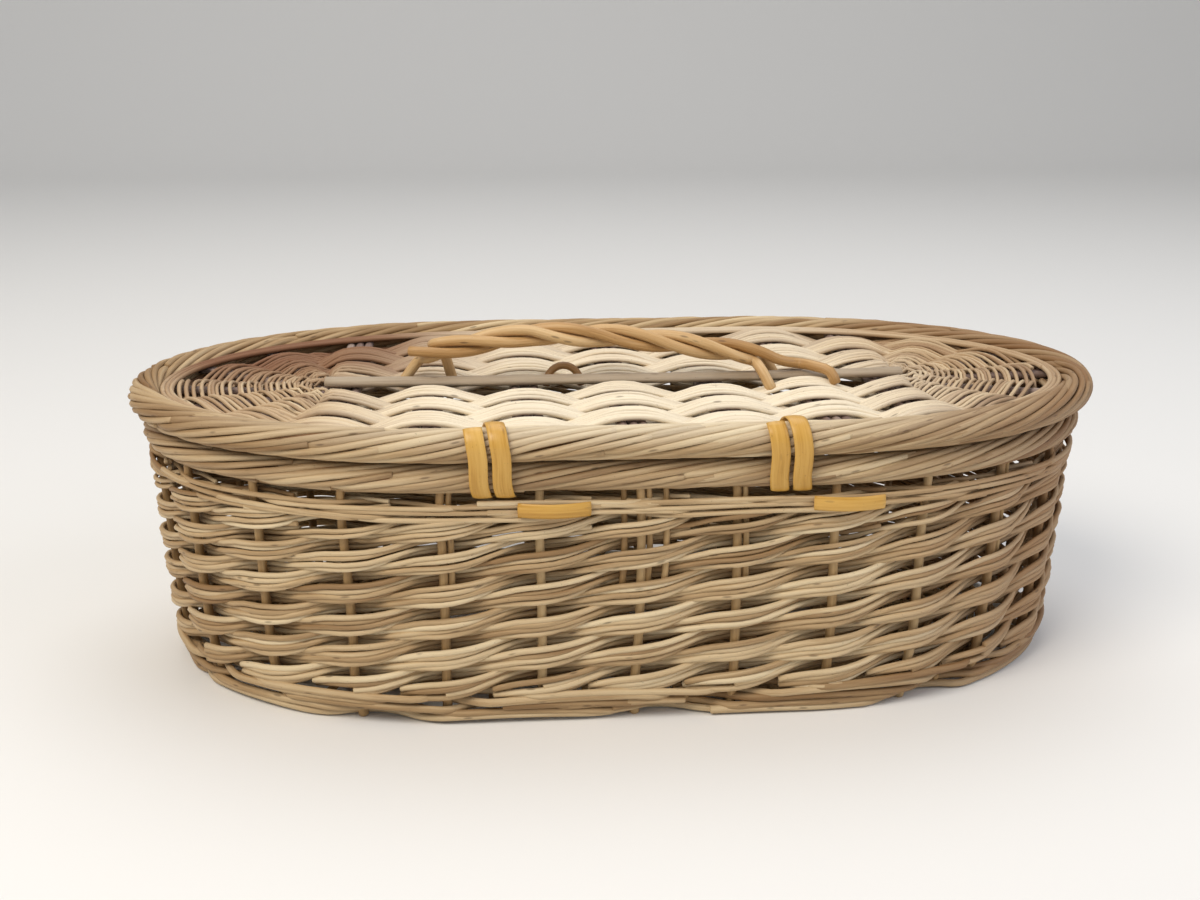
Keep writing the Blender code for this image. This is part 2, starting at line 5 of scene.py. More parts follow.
import bpy
import numpy as np
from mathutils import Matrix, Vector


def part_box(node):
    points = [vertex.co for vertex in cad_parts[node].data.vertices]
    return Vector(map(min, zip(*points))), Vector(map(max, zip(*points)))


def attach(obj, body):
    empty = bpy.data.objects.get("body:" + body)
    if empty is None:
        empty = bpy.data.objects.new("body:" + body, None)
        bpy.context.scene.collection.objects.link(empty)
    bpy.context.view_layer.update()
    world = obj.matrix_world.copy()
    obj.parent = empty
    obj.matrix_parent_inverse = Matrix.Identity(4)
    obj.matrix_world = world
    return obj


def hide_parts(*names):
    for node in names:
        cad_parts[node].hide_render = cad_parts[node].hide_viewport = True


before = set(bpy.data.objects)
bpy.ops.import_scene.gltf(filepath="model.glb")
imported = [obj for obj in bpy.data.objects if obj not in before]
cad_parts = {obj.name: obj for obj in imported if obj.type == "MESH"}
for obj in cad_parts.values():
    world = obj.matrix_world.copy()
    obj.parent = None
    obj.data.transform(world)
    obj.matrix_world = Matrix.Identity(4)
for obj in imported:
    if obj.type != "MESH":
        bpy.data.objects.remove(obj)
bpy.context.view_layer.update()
MM = 0.001
chance = np.random.default_rng(26)

# Sizes the frame has
FLANK = 72.0                            # half the length of the oval's straight sides
GAP = 0.3                               # air between two pieces that touch
LID_LONG, LID_DEEP, LID_RIM, LID_Z = 222.0, 110.0, 8.0, 128.0
LID_SEAT, LID_SAG = 1.0, 4.0            # the panel's edge under the rim's middle, its middle under its edge
BODY_LONG, BODY_DEEP, BODY_RIM, BODY_Z = 217.5, 107.0, 7.0, 112.997
TAPER_Z, TAPER_IN = (0.0, 6.0, 13.0, 24.0, 60.0, 106.0), (12.5, 10.3, 7.6, 5.6, 2.9, 0.0)
TAPER_DEEP = 0.65                       # the front and the back lean inward less than the ends
STAKES, STAKE_SPACE, STAKE_R = 26, 42.0, 2.2
SLEW_STROKES, SLEW_PITCH, SLEW_LEAST = 12, 7.4, 17.0
CROSS_X, CROSS_ROD = tuple(share * LID_LONG for share in (0.0, 0.203, 0.405, 0.586)), 2.3
FAN_X, FAN_ANGLES = CROSS_X[-1] + 3.0, (-60.0, -30.0, 0.0, 30.0, 60.0)
LID_ROWS, LID_BEGIN, LID_CROWD, LID_CLEAR = 7, 6, 1.35, 10.8
STICK_END, STICK_WIDE, STICK_HIGH = CROSS_X[-1] + 9.0, 9.5, 5.0
STICK_TOP = LID_Z - LID_SEAT - LID_SAG + CROSS_ROD + GAP + STICK_HIGH
FLOOR_Z, FLOOR_ROWS, FLOOR_STICKS = 6.2, 4, 3
# middle line of the handle: the way along the basket, and the height over the long stick
HANDLE_LINE = ((-99.0, 10.5), (-70.0, 15.5), (-42.0, 20.0), (-8.0, 18.8), (11.0, 16.8), (35.0, 13.4),
               (54.0, 10.2), (70.0, 7.6), (88.0, 3.4))
CORE_END, CORE_EASE = ((95.0, -6.5, 3.2), (102.0, -12.0, 1.0), (104.0, -13.5, -3.5)), 16.0
STRAND_R, STRAND_OFF, ROPE_TURNS, ROPE_PHASE = 2.6, 3.4, 1.875, -70.0
ROPE_SPAN = ((-90.0, 66.0), (-88.0, 68.0))
ROPE_FEET, FOOT_DEEP = (((-104.0, 13.0), (73.0, -13.5)), ((-79.0, 14.0), (80.0, 13.5))), 6.0
KNEE_SHARE, KNEE_DROP = (0.3, 0.6, 0.0), (0.0, 0.0, -2.0)
LOOP_X, CANE_WIDE, CANE_THICK, CANE_PITCH, CANE_CLEAR = 0.279 * LID_LONG, 8.0, 1.3, 9.6, 0.5

# Sizes of the rods drawn here, and where they lie: heights in mm, places round the oval in stakes
QUARTER = 0.25                          # from one point of a rod to the next
CUT_OUT, CUT_SIZE = 0.25, 0.72          # small round edge of a cut end, as shares of the radius
STAKE_AT, STAKE_ROD = (0.8, 14.0, 35.0, 60.0, 85.0, 100.0, 112.0), (2.25, 1.85)
BYE_AT, BYE_ROD, BYE_SPACE = (62.0, 75.0, 90.0, 100.0, 112.0), (1.5, 1.2), 3.6
BYE_STAKES = {0: 3, 1: 1, 4: 1, 24: 1, 13: 2, 17: 1}     # how many thin ones stand beside which stakes
SLEW_R, SLEW_LANES = 1.42, 4            # thick end of a slewing rod, and the rods in a bundle
SLEW_BUTT, SLEW_TIP = (0.95, 1.08), (0.66, 0.84)         # shares of that at a rod's two ends
SLEW_LATE, SLEW_SHORT = (0, 0, 2), (0, 0, 0, 4, 8)       # points by which a rod starts late or ends early
SLEW_APART, SLEW_FAN = 1.84, 0.5        # from rod to rod between two stakes, and how much more on one
SLEW_LEVEL, SLEW_ROUND = 0.085, 1.5     # how flat a bundle crosses a stake, and how round it is between two
SLEW_AIR, SLEW_BEND = 0.35, 0.35        # air at a stake, and the short bend there
SLEW_FROM, SLEW_TO = 12.5, 103.0        # the slewing keeps between the upsett and the border
WALE_IN, WALE_DIP, GROUND = 1.85, 0.35, 0.55             # how far and how long inward, air under the feet
UPSETT_AT, UPSETT_R, UPSETT_OUT = (2.3, 5.1, 7.9, 10.7, 13.2), 1.75, 4.7
TOP_AT, TOP_R, TOP_OUT = (95.8, 97.5, 99.2, 100.8, 102.0), 1.15, 3.9
ROLL_TURN = 360.0 * 6 / STAKES          # degrees that a border rolls from one stake to the next
ROLL_SPAN, ROLL_EASE, ROLL_TUCK = (3.0, 5.5), 0.45, 1.6  # length, room under the edge, how deep a rod starts
HEART_RODS, HEART_TURNS, HEART_OFF, HEART_SHARE = 3, 7, 2.9, 0.36
BODY_RODS, BODY_ROD_R, LID_RODS, LID_ROD_R = 11, 1.72, 12, 1.85
PANEL_LANES, PANEL_SPREAD = 8, 1.3      # rods in one row, and how many rows wide they spread
PANEL_R, PANEL_FILL = (0.85, 1.25), 0.66                 # least and most radius, share of the way to the next
PANEL_CROWN, PANEL_LOOSE = 0.9, 0.8     # how far a row bows up in its middle, and a rod by chance
PANEL_ROD = (380, 650)                  # length of a rod of a panel in mm
BESIDE_RODS, BESIDE_R, BESIDE_IN, BESIDE_APART, BESIDE_UP = 6, 1.2, 8.2, 2.1, 1.25
SPOKE_R, SPOKE_APART, SPOKE_EASE = 1.75, 1.7, 4.0
FLOOR_IN, FLOOR_ROW_IN, FLOOR_SPOKE_IN = (10.3, 6.7), (14.8, 11.2), (10.5, 7.0)
FLOOR_STICK_R, FLOOR_STICK_WIDE, FLOOR_SPOKE_R = 1.7, 1.55, 1.6


# Plan of the oval: straight flanks, elliptical ends
def oval_places(count):
    """Places spread evenly by length round the border from the front middle: flank, and side of the end."""
    fine = 2400
    turn = np.linspace(-math.pi / 2, math.pi / 2, 2 * fine)
    along = np.concatenate([np.linspace(0, FLANK, fine), np.full(2 * fine, FLANK),
                            np.linspace(FLANK, 0, fine)])
    c = np.concatenate([np.zeros(fine), np.cos(turn), np.zeros(fine)])
    s = np.concatenate([-np.ones(fine), np.sin(turn), np.ones(fine)])
    along, c, s = (np.concatenate([row, sign * row[::-1]]) for row, sign in ((along, -1), (c, -1), (s, 1)))
    x, y = along + c * (BODY_LONG - FLANK), s * BODY_DEEP
    run = np.concatenate([[0.0], np.cumsum(np.hypot(np.diff(x), np.diff(y)))])
    want = np.arange(count) / count * run[-1]
    return [np.interp(want, run, row) for row in (along, c, s)]


FINE = 32                                       # places between two stakes
OVAL = [np.append(row, row[0]) for row in oval_places(STAKES * FINE)]


def round_oval(u, long, deep, z, off=0.0):
    """Points round an oval at u stakes from the front middle, moved out square to it."""
    place = np.mod(u, STAKES) * FINE
    along, c, s = (np.interp(place, np.arange(STAKES * FINE + 1), row) for row in OVAL)
    nx, ny = c / (long - FLANK), s / deep
    size = np.hypot(nx, ny)
    return np.stack([along + c * (long - FLANK) + off * nx / size, s * deep + off * ny / size,
                     np.broadcast_to(z, np.shape(place))], -1)


def wall(u, z, off=0.0):
    """A point of the tapering wall, measured outward from the middle of its stakes."""
    inward = np.interp(z, TAPER_Z, TAPER_IN)
    return round_oval(u, BODY_LONG - inward, BODY_DEEP - inward * TAPER_DEEP, z, off)


# Rods
def smooth(path, step):
    """A smooth line through the given rows, in steps of about one length; any extra columns go with it."""
    path = np.asarray(path, float)
    run = np.concatenate([[0.0], np.cumsum(np.linalg.norm(np.diff(path[:, :3], axis=0), axis=1) + 1e-6)])
    slope = np.gradient(path, run, axis=0)
    at = np.linspace(0.0, run[-1], max(2, int(run[-1] / step) + 1))
    low = np.clip(np.searchsorted(run, at, "right") - 1, 0, len(run) - 2)
    span = (run[low + 1] - run[low])[:, None]
    t = ((at - run[low])[:, None]) / span
    return (path[low] * (2 * t ** 3 - 3 * t ** 2 + 1) + slope[low] * span * (t ** 3 - 2 * t ** 2 + t)
            + path[low + 1] * (3 * t ** 2 - 2 * t ** 3) + slope[low + 1] * span * (t ** 3 - t ** 2))


def wander(count, size, period):
    """A slow random drift, one value for each of the points."""
    knots = max(4, int(count / period) + 3)
    places = np.linspace(0, max(1, count - 1), knots)
    return np.interp(np.arange(count), places, chance.normal(0, size, knots))


class Weaving:
    """Rods gathered into one piece, with what their finish reads at each point: the way along and
    round the rod (grain, mm), and its shade, how much bleaching and painted light lift it, and how
    much age and painted shade darken it (look)."""

    def __init__(self):
        self.points, self.faces, self.grain, self.look = [], [], [], []

    def rod(self, path, thick, shade=None, bleach_and_light=0.0, age_and_shade=0.0, sides=8, step=4.0, wide=1.0, out=None):
        """One rod along a line. thick is its radius, and wide how much broader it is one way.
        out, one direction for each point, turns a flat strip's thin side to it."""
        path = np.asarray(path, float)
        table = [path, np.broadcast_to(np.asarray(thick, float), len(path))[:, None]]
        if out is not None:
            table.append(np.broadcast_to(out, path.shape))
        line = smooth(np.concatenate(table, 1), step)
        middle, radius = line[:, :3], line[:, 3]
        ahead = np.gradient(middle, axis=0)
        ahead /= np.linalg.norm(ahead, axis=1)[:, None] + 1e-9
        if out is not None:
            first = line[:, 4:7]
        else:
            first = np.empty_like(middle)
            lean = np.array([0.0, 0.0, 1.0]) if abs(ahead[0, 2]) < 0.8 else np.array([0.0, 1.0, 0.0])
            for at, way in enumerate(ahead):
                lean = lean - way * lean.dot(way)
                lean /= np.linalg.norm(lean)
                first[at] = lean
        first = first - ahead * np.sum(first * ahead, 1)[:, None]
        first /= np.linalg.norm(first, axis=1)[:, None] + 1e-9
        second = np.cross(ahead, first)
        run = np.concatenate([[0.0], np.cumsum(np.linalg.norm(np.diff(middle, axis=0), axis=1))])
        # ends: a small round edge on a square cut
        tuck = np.concatenate([[0], np.arange(len(middle)), [len(middle) - 1]])
        push = np.zeros(len(tuck))
        push[0], push[-1] = -CUT_OUT * radius[0], CUT_OUT * radius[-1]
        middle = middle[tuck] + ahead[tuck] * push[:, None]
        size = radius[tuck]
        size[0] *= CUT_SIZE
        size[-1] *= CUT_SIZE
        angle = np.arange(sides) * math.tau / sides
        across = first[tuck][:, None] * np.cos(angle)[None, :, None]
        beside = second[tuck][:, None] * np.sin(angle)[None, :, None] * wide
        rings = middle[:, None] + (across + beside) * size[:, None, None]
        start = sum(len(block) for block in self.points)
        count = len(tuck)
        here = start + np.arange(count - 1)[:, None] * sides + np.arange(sides)[None]
        there = start + np.arange(count - 1)[:, None] * sides + (np.arange(sides)[None] + 1) % sides
        quads = np.stack([here, there, there + sides, here + sides], -1).reshape(-1, 4)
        self.faces += quads.tolist()
        self.faces.append(list(range(start + sides - 1, start - 1, -1)))
        self.faces.append(list(range(start + (count - 1) * sides, start + count * sides)))
        places = rings.reshape(-1, 3)
        self.points.append(places)
        seed = chance.uniform(0, 400, 3)
        along = np.repeat(run[tuck][:, None], sides, 1)
        grain = np.stack([along, size[:, None] * np.cos(angle)[None],
                          size[:, None] * wide * np.sin(angle)[None]], -1)
        self.grain.append((grain + seed).reshape(-1, 3))
        spread = chance.normal(0.5, 0.2) if shade is None else shade
        # the second share lifts toward the bleached colour and also paints light; the third darkens toward
        # the aged colour and also paints shade
        bleach_and_light_share, age_and_shade_share = [shift(places) if callable(shift) else np.full(len(places), float(shift))
                       for shift in (bleach_and_light, age_and_shade)]
        self.look.append(np.stack([np.full(len(places), spread), bleach_and_light_share, age_and_shade_share], -1))

    def piece(self, name, finish, body, kind, *nodes):
        """The gathered rods as one object that rides on a body and stands for CAD nodes."""
        mesh = bpy.data.meshes.new(name)
        mesh.from_pydata((np.concatenate(self.points) * MM).tolist(), [], self.faces)
        for title, rows in (("grain", self.grain), ("look", self.look)):
            store = mesh.attributes.new(title, "FLOAT_VECTOR", "POINT")
            store.data.foreach_set("vector", np.concatenate(rows).astype(np.float32).ravel())
        mesh.polygons.foreach_set("use_smooth", [True] * len(mesh.polygons))
        mesh.materials.append(finish)
        made = bpy.data.objects.new(name, mesh)
        bpy.context.scene.collection.objects.link(made)
        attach(made, body)
        if nodes:
            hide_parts(*nodes)
        return made


# Finishes
def colour(code):
    """An sRGB hex colour as linear red, green, blue and alpha."""
    values = [int(code[at:at + 2], 16) / 255 for at in (1, 3, 5)]
    linear = [value / 12.92 if value <= 0.04045 else ((value + 0.055) / 1.055) ** 2.4 for value in values]
    return (*linear, 1.0)


def add(tree, kind, inputs=(), **settings):
    """One node with its settings, and a value or another node's output for each of its sockets."""
    made = tree.nodes.new(kind)
    for name, value in settings.items():
        setattr(made, name, value)
    for socket, value in dict(inputs).items():
        if isinstance(value, bpy.types.NodeSocket):
            tree.links.new(value, made.inputs[socket])
        else:
            made.inputs[socket].default_value = value
    return made


# Patterns on a rod, as repeats in a millimetre: along the rod, and across it two ways
STREAKS = (0.04, 1.0, 1.0)              # 25 mm long and 1 mm wide
PATCHES = (0.016, 0.12, 0.12)           # 60 mm long and 8 mm wide
KNOTS = (0.055, 0.23, 0.23)             # one to each 18 by 4 mm
KNOT_HEART, KNOT_EDGE = 0.07, 0.14      # as shares of that room, so a knot is 1.2 mm across
FIBRES = (0.15, 2.6, 2.6)               # 7 mm long and 0.4 mm wide
FIBRE_DEEP = 0.4 * MM
FLECKS = 0.9                            # about 1 mm, drawn coarser than the real ones so that they show
FLECK_FROM, FLECK_TO, FLECK_DARK = 0.68, 0.78, 0.35
SCAR_BROWN = "#4A321E"


def rod_finish(name, dark, body, pale, bleached_and_lit, aged_and_shaded, knot=0.55, rough=(0.5, 0.75), ior=1.45, relief=0.35):
    """A dried natural rod: streaks run along it, each rod has its own shade, and knots and flecks dot it."""
    finish = bpy.data.materials.new(name)
    finish.use_nodes = True
    tree = finish.node_tree
    shader = tree.nodes["Principled BSDF"]
    shader.inputs["IOR"].default_value = ior
    grain = add(tree, "ShaderNodeAttribute", attribute_name="grain").outputs["Vector"]
    look = add(tree, "ShaderNodeAttribute", attribute_name="look").outputs["Vector"]
    shade, bleach_and_light, age_and_shade_share = add(tree, "ShaderNodeSeparateXYZ", {0: look}).outputs
    # the rod's own shade, with streaks and slow patches added
    fibre = add(tree, "ShaderNodeMapping", {0: grain, 3: STREAKS}).outputs[0]
    streak = add(tree, "ShaderNodeTexNoise",
                 {"Vector": fibre, "Scale": 1.0, "Detail": 5.0, "Roughness": 0.6}).outputs[0]
    length = add(tree, "ShaderNodeMapping", {0: grain, 3: PATCHES}).outputs[0]
    patch = add(tree, "ShaderNodeTexNoise", {"Vector": length, "Scale": 1.0, "Detail": 3.0}).outputs[0]
    mixed = add(tree, "ShaderNodeMath", {0: streak, 1: 1.1, 2: shade}, operation="MULTIPLY_ADD").outputs[0]
    mixed = add(tree, "ShaderNodeMath", {0: patch, 1: 1.3, 2: mixed}, operation="MULTIPLY_ADD").outputs[0]
    low = add(tree, "ShaderNodeMapRange", {0: mixed, 1: 1.1, 2: 1.75}).outputs[0]
    high = add(tree, "ShaderNodeMapRange", {0: mixed, 1: 1.65, 2: 2.4}).outputs[0]
    # painted light and bleaching lift the paler streaks most
    bleach_and_light_lift = add(tree, "ShaderNodeMath", {0: streak, 1: 0.8, 2: 0.55}, operation="MULTIPLY_ADD").outputs[0]
    bleach_and_light_lift = add(tree, "ShaderNodeMath", {0: bleach_and_light_lift, 1: bleach_and_light}, operation="MULTIPLY", use_clamp=True).outputs[0]
    # knots far apart, and fine dark flecks
    dots = add(tree, "ShaderNodeMapping", {0: grain, 3: KNOTS}).outputs[0]
    near = add(tree, "ShaderNodeTexVoronoi", {"Vector": dots, "Scale": 1.0}).outputs["Distance"]
    scar = add(tree, "ShaderNodeMapRange", {0: near, 1: KNOT_HEART, 2: KNOT_EDGE, 3: knot, 4: 0.0}).outputs[0]
    fleck = add(tree, "ShaderNodeTexNoise", {"Vector": grain, "Scale": FLECKS, "Detail": 2.0}).outputs[0]
    fleck = add(tree, "ShaderNodeMapRange",
                {0: fleck, 1: FLECK_FROM, 2: FLECK_TO, 3: 0.0, 4: FLECK_DARK}).outputs[0]
    mark = add(tree, "ShaderNodeMath", {0: scar, 1: fleck}, operation="MAXIMUM").outputs[0]
    # layers: the body and pale streaks, then the bleached colour, which also paints light, then the aged
    # colour, which also paints shade, then knots and flecks
    tone = colour(dark)
    for share, code in ((low, body), (high, pale), (bleach_and_light_lift, bleached_and_lit), (age_and_shade_share, aged_and_shaded), (mark, SCAR_BROWN)):
        tone = add(tree, "ShaderNodeMix", {0: share, 6: tone, 7: colour(code)}, data_type="RGBA").outputs[2]
    tree.links.new(tone, shader.inputs["Base Color"])
    gloss = add(tree, "ShaderNodeMapRange", {0: streak, 1: 0.3, 2: 0.7, 3: rough[0], 4: rough[1]}).outputs[0]
    tree.links.new(gloss, shader.inputs["Roughness"])
    skin = add(tree, "ShaderNodeMapping", {0: grain, 3: FIBRES}).outputs[0]
    skin = add(tree, "ShaderNodeTexNoise", {"Vector": skin, "Scale": 1.0, "Detail": 3.0}).outputs[0]
    bump = add(tree, "ShaderNodeBump",
               {"Strength": relief, "Distance": FIBRE_DEEP, "Height": skin}).outputs[0]
    tree.links.new(bump, shader.inputs["Normal"])
    return finish


# Peeled willow, dried and left matt: straw shades from rod to rod, with painted shade darkening it toward the
# ends
SLEW_WILLOW = rod_finish("peeled_willow_slewing", "#8F704A", "#BDA27A", "#DBC8A4", "#E8DCC0", "#8A5F38")
STAKE_WILLOW = rod_finish("peeled_willow_stake", "#8A6A42", "#AE8D5F", "#C9AD80", "#D8C6A2", "#7E5733")
RIM_WILLOW = rod_finish("peeled_willow_border", "#85653F", "#B0936B", "#D6C19B", "#EBDFC4", "#7F5835")
# The same willow bleached by the sun on top of the lid, almost cream
LID_WILLOW = rod_finish("sun_bleached_willow_lid", "#8E6C48", "#B99A72", "#DAC49E", "#EFE3CB", "#80573A")
# Willow with its bark left on and weathered: grey with a mauve tint
CROSS_WILLOW = rod_finish("weathered_willow_sticks", "#66504A", "#8A756B", "#A8968A", "#CDC2B2", "#7A5F50")
STICK_WILLOW = rod_finish("weathered_willow_long_stick", "#84725E", "#A4927B", "#BCAD98", "#D2C8B6",
                          "#8F8272")
# Rods worn by hands, golden with a low sheen
HANDLE_WILLOW = rod_finish("hand_worn_willow_handle", "#8A6030", "#BE9560", "#E0C293", "#EACFA2", "#6E4A2A",
                           rough=(0.34, 0.55))
# Split cane with its skin outward: yellow, smooth and a little shiny
HINGE_CANE = rod_finish("split_cane_hinge", "#94671F", "#C2913A", "#DEB462", "#EBD191", "#7A5A2C",
                        knot=0.25, rough=(0.28, 0.45), ior=1.5, relief=0.15)


# Stakes and bye-stakes
# Painted shade: the wall and the rims are made darker and browner toward the ends, most at the right end
END_PAINTED_SHADE = ((1, 0.62, 95.0, 90.0), (-1, 0.18, 150.0, 60.0))   # end, how brown, from where, over how long


def end_painted_shade(points):
    """How much painted shade darkens and browns the wall and the rims: most at the right end, a little at the
    left.
    """
    x = points[:, 0]
    return sum(most * np.clip((end * x - begins) / fades, 0, 1) for end, most, begins, fades in END_PAINTED_SHADE)


# the stakes, like the slewing, the waling and the borders, take that painted shade toward the ends
for number in range(STAKES):
    work = Weaving()
    z, up = np.array(STAKE_AT), np.array(BYE_AT)
    sway = wander(len(z), 0.5, 2) / STAKE_SPACE
    work.rod(wall(number + sway, z), np.linspace(*STAKE_ROD, len(z)), step=6.0, sides=10, age_and_shade=end_painted_shade)
    for extra in range(BYE_STAKES.get(number, 0)):
        shift = (extra + 1) * BYE_SPACE / STAKE_SPACE * (1 if extra % 2 == 0 else -1)
        work.rod(wall(number + shift + sway[-len(up):], up), np.linspace(*BYE_ROD, len(up)), step=6.0)
    work.piece(f"stake_rod_{number + 1:02d}", STAKE_WILLOW, "basket", "stake", f"stake_{number + 1:02d}")

# Slewing in the French way: one bundle starts at every stake and they all climb together
work = Weaving()
for start in range(STAKES):
    for lane in range(SLEW_LANES):
        strokes = np.arange(-0.5, SLEW_STROKES - 0.49, QUARTER)
        strokes = strokes[chance.choice(SLEW_LATE):len(strokes) - chance.choice(SLEW_SHORT)]
        count = len(strokes)
        radius = np.linspace(SLEW_R * chance.uniform(*SLEW_BUTT), SLEW_R * chance.uniform(*SLEW_TIP), count)
        wave = np.cos(math.pi * strokes)
        spread = SLEW_APART + SLEW_FAN * np.abs(wave)
        # a bundle lies flat across a stake and climbs between two
        climb = strokes - SLEW_LEVEL * np.sin(math.tau * strokes)
        from_middle = lane - (SLEW_LANES - 1) / 2
        z = SLEW_LEAST + SLEW_PITCH * climb + from_middle * spread + wander(count, 0.3, 5)
        off = wave * (STAKE_R + SLEW_AIR + radius) + wander(count, 0.25, 3)
        off += SLEW_ROUND * (lane % 2 - 0.5) * (1 - np.abs(wave))
        # a rod bends short where it lies on a stake
        sharp = off + SLEW_BEND * np.sign(wave) * (np.abs(wave) > 0.9)
        u = start + strokes + wander(count, 0.3, 4) / STAKE_SPACE
        path = wall(u, np.clip(z, SLEW_FROM, SLEW_TO), sharp)
        work.rod(path, radius, sides=7, step=4.5, shade=chance.normal(0.56, 0.26), age_and_shade=end_painted_shade)
work.piece("slewing_rods", SLEW_WILLOW, "basket", "slewing", "slewing_a", "slewing_b")


# Waling round the foot, and finer and nearly level under the border
def wale(work, levels, thick, out, tilt, length):
    """Rounds of waling: each rod passes outside two stakes and inside the third. length is the least
    and most that a rod measures, in stakes."""
    for level in levels:
        at = chance.uniform(0, STAKES)
        done = 0.0
        while done < STAKES:
            span = min(chance.uniform(*length), STAKES - done + 2)
            u = np.arange(0, span, QUARTER) + at + done
            wave = np.cos(math.tau * (u + level) / 3)
            off = out * (1 - WALE_IN * np.clip((-wave - WALE_DIP) / (1 - WALE_DIP), 0, 1))
            z = level + wander(len(u), 0.5, 6) + tilt * wave
            radius = thick * np.linspace(1.1, 0.85, len(u))
            work.rod(wall(u, np.maximum(z, radius + GROUND), off), radius, sides=8, step=4.5, age_and_shade=end_painted_shade)
            done += span - 1.0


work = Weaving()
wale(work, UPSETT_AT, UPSETT_R, UPSETT_OUT, 0.6, (7, 11))
work.piece("upsett_rods", RIM_WILLOW, "basket", "waling", "upsett")
work = Weaving()
wale(work, TOP_AT, TOP_R, TOP_OUT, 0.35, (6, 10))
work.piece("top_wale_rods", SLEW_WILLOW, "basket", "waling", "top_wale")


# Rolled borders
def rolled_border(work, long, deep, z, radius, rods, thick, bleach_and_light):
    """Short rods side by side round the rim, rolled over one another; each starts under its neighbours
    and ends in a cut end on the outside. Heavier rods fill the middle."""
    for order in range(HEART_RODS):
        u = np.arange(0.0, STAKES + 0.3, QUARTER)
        turn = math.tau * (order / HEART_RODS + u / STAKES * HEART_TURNS)
        path = round_oval(u, long, deep, z + HEART_OFF * np.sin(turn), HEART_OFF * np.cos(turn))
        work.rod(path, HEART_SHARE * radius, sides=7, step=6.0, shade=0.1, age_and_shade=0.7)
    for order in range(rods):
        at = chance.uniform(0, 3)
        done = 0.0
        while done < STAKES:
            span = chance.uniform(*ROLL_SPAN)
            u = at + done + np.arange(0.0, span + 0.01, QUARTER)
            turn = math.tau * order / rods + math.radians(ROLL_TURN) * u + wander(len(u), 0.06, 4)
            size = thick * np.linspace(1.04, 0.78, len(u)) * chance.uniform(0.88, 1.0)
            ring = radius - ROLL_EASE - size * 1.02 - 0.5 * np.abs(wander(len(u), 0.5, 4))
            ring[0] -= ROLL_TUCK
            path = round_oval(u, long, deep, z + ring * np.sin(turn), ring * np.cos(turn))
            work.rod(path, size, sides=8, step=4.5, bleach_and_light=bleach_and_light, age_and_shade=end_painted_shade, shade=chance.normal(0.5, 0.24))
            done += span - chance.uniform(0.1, 0.5)


work = Weaving()
rolled_border(work, BODY_LONG, BODY_DEEP, BODY_Z, BODY_RIM, BODY_RODS, BODY_ROD_R, 0.05)
work.piece("body_border_rods", RIM_WILLOW, "basket", "border", "body_border")


def rim_painted_light(points):
    """How much painted light lifts the lid's rim: on its upper side, most at the front."""
    x, y, z = points.T
    upper = np.clip((z - LID_Z) / LID_RIM + 0.2, 0, 1)
    return 0.6 * upper * np.clip(1.1 - np.abs(x + 10) / 190, 0, 1) * (y < 60)


work = Weaving()
# the lid's rim is lifted with painted light on its upper side
rolled_border(work, LID_LONG, LID_DEEP, LID_Z, LID_RIM, LID_RODS, LID_ROD_R, rim_painted_light)
work.piece("lid_border_rods", RIM_WILLOW, "lid", "border", "lid_border")


# Panels
def measure(x, y, long, deep, flank):
    """Below one inside the oval, one on it."""
    return np.hypot(np.maximum(0.0, np.abs(x) - flank) / (long - flank), y / deep)


def on_oval(x, y, angle, long, deep, flank):
    """Where rays from inside cross the oval."""
    low, high = np.zeros(np.shape(angle)), np.full(np.shape(angle), 400.0)
    for _ in range(36):
        middle = (low + high) / 2
        inside = measure(x + np.cos(angle) * middle, y + np.sin(angle) * middle, long, deep, flank) < 1
        low, high = np.where(inside, middle, low), np.where(inside, high, middle)
    return x + np.cos(angle) * low, y + np.sin(angle) * low


def rays(sticks, fan, angles, half_stick, half_spoke):
    """Pairs of rays beside each stick and spoke, in the order a weaver meets them."""
    right = [[(x - half_stick, 0.0, -90.0), (x + half_stick, 0.0, -90.0), None] for x in sticks]
    for order, angle in enumerate(angles):
        dx, dy = -math.sin(math.radians(angle)) * half_spoke, math.cos(math.radians(angle)) * half_spoke
        right.append([(fan - dx, -dy, angle), (fan + dx, dy, angle), order])
    right += [[(x + half_stick, 0.0, 90.0), (x - half_stick, 0.0, 90.0), None] for x in reversed(sticks)]
    left = [[(-x, -y, a + 180.0) for x, y, a in pair[:2]] + [pair[2]]
            for pair in (right[1:-1] if sticks[0] == 0 else right)]
    return right + left


def lid_height(x, y):
    """Height of the lid's panel, which hangs a little in its middle."""
    away = np.minimum(1.0, measure(x, y, LID_LONG, LID_DEEP, FLANK))
    return LID_Z - LID_SEAT - LID_SAG * (1 - away ** 2)


def floor_height(x, y):
    """Height of the floor, which is flat."""
    return np.full_like(x, FLOOR_Z)


